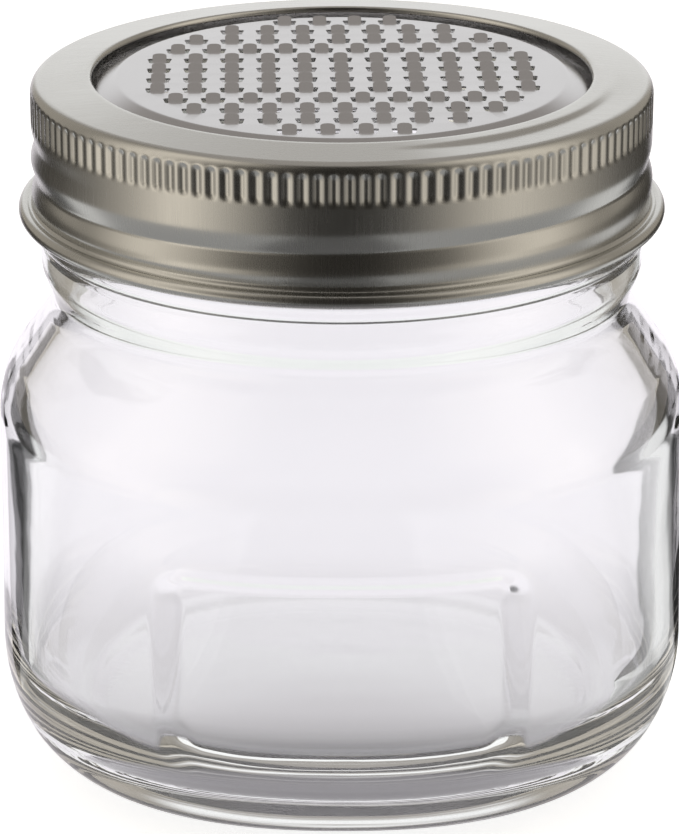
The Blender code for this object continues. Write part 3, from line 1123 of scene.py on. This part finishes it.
# %% Sides of the studio, by the angle from straight ahead
warm = (1.0, 0.92, 0.8)
all_round = (-180, 180)
side_stops = (
    (-180, 0.1), (-145, 0.04), (-120, 0.08), (-100, 0.18), (-80, 0.48), (-58, 1.15), (-40, 0.65),
    (-20, 0.05), (0, 0.02), (20, 0.05), (40, 0.45), (60, 0.92), (80, 0.6), (100, 0.24), (120, 0.09),
    (145, 0.04), (180, 0.1),
)
print("the brightest side is at", max(level for _, level in side_stops))

# %% Gaps beside the sweep, by the angle from its edge, where 0 is straight back
near_floor = (0.18, 0.21)
near_stops = (
    (-180, 0.4), (-90, 0.4), (-75, 0.85), (-56, 0.8), (-51, 0.04), (-22, 0.03), (-15, 0.12), (12, 0.12),
    (17, 0.04), (38, 0.04), (43, 0.8), (70, 0.85), (90, 0.4), (180, 0.4),
)
print("the gaps fade out from", near_floor[0], "to", near_floor[1])

# %% Sweep behind the jar: edges by the same angle, brightness by the distance behind, with painted shadow under the jar
sweep_centre = -6 * mm
sweep_side = 42 * mm
sweep_edges = ((-180, 1), (-25, 1), (-23, 0), (18, 0), (20, 1), (180, 1))
sweep_front = (-0.05, -0.09)
sweep_reach = (-0.1, 0.7)
# Under the jar, from 45 mm in front of the axis to 45 mm behind it, the glow stays below full white: painted
# shadow of the jar and its lid, which the glass shows through its floor.
sweep_and_painted_shadow_stops = (
    (-0.1, 0.3), (-0.045, 0.3), (-0.03, 0.27), (-0.018, 0.42), (-0.006, 0.7), (0.02, 0.8), (0.045, 1.0),
    (0.7, 1.0),
)
sweep_colour = (1.035, 0.99, 1.05)
least_back = 0.1 * mm
print("the sweep is", 2 * sweep_side, "wide")


# %% What glass and steel see of the floor
def floor_surroundings(tree):
    """The near part of the studio: the sweep, and outside its edges the gaps and the sides."""
    place = tree.nodes.new("ShaderNodeTexCoord").outputs["Object"]
    right, back, _ = add_parts(tree, place)
    ahead = add_math(tree, "MULTIPLY", back, -1.0)
    angle = add_math(tree, "ARCTAN2", right, ahead)
    degrees = add_math(tree, "MULTIPLY", angle, math.degrees(1))
    side = add_emission(tree, add_ramp(tree, degrees, *all_round, side_stops), warm)
    off_centre = add_math(tree, "SUBTRACT", right, sweep_centre)
    sideways = add_math(tree, "ABSOLUTE", off_centre)
    beside = add_math(tree, "MAXIMUM", add_math(tree, "SUBTRACT", sideways, sweep_side), 0.0)
    behind = add_math(tree, "MAXIMUM", back, least_back)
    turned = add_math(tree, "ARCTAN2", beside, behind)
    turned = add_math(tree, "MULTIPLY", turned, math.degrees(1))
    turned = add_math(tree, "MULTIPLY", turned, add_math(tree, "SIGN", off_centre))
    near = add_emission(tree, add_ramp(tree, turned, *all_round, near_stops))
    distance = tree.nodes.new("ShaderNodeVectorMath")
    distance.operation = "LENGTH"
    tree.links.new(place, distance.inputs[0])
    far = add_range(tree, distance.outputs["Value"], near_floor)
    sides = add_shader_mix(tree, far, near, side)
    off_side = add_ramp(tree, turned, *all_round, sweep_edges)
    off_sweep = add_math(tree, "MAXIMUM", off_side, add_range(tree, back, sweep_front))
    # The sweep's glow is darker under the jar: painted shadow, seen through the glass.
    sweep = add_emission(tree, add_ramp(tree, back, *sweep_reach, sweep_and_painted_shadow_stops), sweep_colour)
    return add_shader_mix(tree, off_sweep, sweep, sides)


# %% Floor
floor_size = 8.0
floor_drop = 0.02 * mm
floor_colour = (0.85, 0.85, 0.85)
floor_lift = 0.8


def floor_material():
    """White to the camera, lifted by a glow of its own, and the surroundings to every other ray."""
    material, shader = new_material("white_floor", floor_colour, roughness=1.0, metallic=0.0)
    tree = material.node_tree
    shader.inputs["Specular IOR Level"].default_value = 0.0
    shader.inputs["Emission Color"].default_value = (1, 1, 1, 1)
    shader.inputs["Emission Strength"].default_value = floor_lift
    seen = tree.nodes.new("ShaderNodeLightPath").outputs["Is Camera Ray"]
    surface = add_shader_mix(tree, seen, floor_surroundings(tree), shader.outputs["BSDF"])
    tree.links.new(surface, tree.nodes["Material Output"].inputs["Surface"])
    return material


def build_floor():
    """One face, a hair under the jar's foot, so the two never lie in the same plane."""
    bm = bmesh.new()
    matrix = Matrix.Diagonal((floor_size, floor_size, 1, 1))
    bmesh.ops.create_grid(bm, x_segments=1, y_segments=1, size=0.5, matrix=matrix)
    bmesh.ops.translate(bm, vec=(0, 0, -floor_drop), verts=bm.verts)
    mesh = mesh_from("floor", bm)
    mesh.materials.append(floor_material())
    floor = bpy.data.objects.new("floor", mesh)
    scene.collection.objects.link(floor)
    print("floor", floor_drop, "under the jar")


build_floor()

# %% Lamp
lamp_side = 1.6
lamp_place = (0, 0.2, 1.4)
lamp_target = (0, 0, 0.07)
lamp_radiance = 0.4
lamp_data = bpy.data.lights.new("top_panel", "AREA")
lamp_data.shape = "RECTANGLE"
lamp_data.size = lamp_side
lamp_data.size_y = lamp_side
lamp_data.energy = lamp_radiance * lamp_side * lamp_side * math.pi
lamp = bpy.data.objects.new("top_panel", lamp_data)
lamp.location = lamp_place
lamp.rotation_euler = (Vector(lamp_target) - Vector(lamp_place)).to_track_quat("-Z", "Y").to_euler()
lamp.visible_camera = False
lamp.visible_glossy = False
lamp.visible_transmission = False
scene.collection.objects.link(lamp)
print("lamp of", lamp_data.energy, "watts")

# %% [markdown]
# The rest of the studio is too far away to need objects, so the world holds it, by direction: a white
# backdrop behind, a dimmer ceiling above it, a tall soft box on each side, and a dark front. Only the
# camera sees plain white there.

# %% World
side_box_lean = 0.3
side_box_stops = (
    (-1.3, 0.02), (-0.85, 0.1), (-0.66, 0.5), (-0.4, 0.9), (-0.22, 0.95), (-0.06, 0.65), (0.22, 0.27),
    (0.5, 0.4), (0.66, 0.4), (1.3, 0.4),
)
side_box_ends = (side_box_stops[0][0], side_box_stops[-1][0])
side_box_reach = (0.15, 0.5)
backdrop_width = (0.28, 0.44)
backdrop_front = (-0.2, -0.05)
backdrop_top = (0.335, 0.53)
backdrop_level = 1.05
ceiling_level = 0.42
ceiling_colour = (1.0, 0.94, 0.88)
room_level = 0.02
wall_level = 1.0


def build_world():
    """The far part of the studio, with a white wall in its place for the camera."""
    world = bpy.data.worlds.new("studio")
    world.use_nodes = True
    tree = world.node_tree
    tree.nodes.remove(tree.nodes["Background"])
    direction = tree.nodes.new("ShaderNodeTexCoord").outputs["Generated"]
    right, back, up = add_parts(tree, direction)
    sideways = add_math(tree, "ABSOLUTE", right)
    leaning = add_math(tree, "MULTIPLY_ADD", up, -side_box_lean, back)
    box = add_ramp(tree, leaning, *side_box_ends, side_box_stops)
    box = add_math(tree, "MULTIPLY", box, add_range(tree, sideways, side_box_reach))
    box = add_math(tree, "ADD", box, room_level)
    inside = add_range(tree, sideways, backdrop_width, (1.0, 0.0))
    behind = add_math(tree, "MULTIPLY", inside, add_range(tree, back, backdrop_front))
    backdrop = add_emission(tree, backdrop_level)
    ceiling = add_emission(tree, ceiling_level, ceiling_colour)
    rear = add_shader_mix(tree, add_range(tree, up, backdrop_top), backdrop, ceiling)
    room = add_shader_mix(tree, behind, add_emission(tree, box, warm), rear)
    seen = tree.nodes.new("ShaderNodeLightPath").outputs["Is Camera Ray"]
    surface = add_shader_mix(tree, seen, room, add_emission(tree, wall_level))
    tree.links.new(surface, tree.nodes["World Output"].inputs["Surface"])
    return world


scene.world = build_world()
print("world", scene.world.name)

# %% Picture
glass_bounces = 32
scene.view_settings.view_transform = "Standard"
scene.cycles.use_denoising = True
scene.cycles.max_bounces = glass_bounces
scene.cycles.glossy_bounces = glass_bounces
scene.cycles.transmission_bounces = glass_bounces
print("light may bounce", glass_bounces, "times")
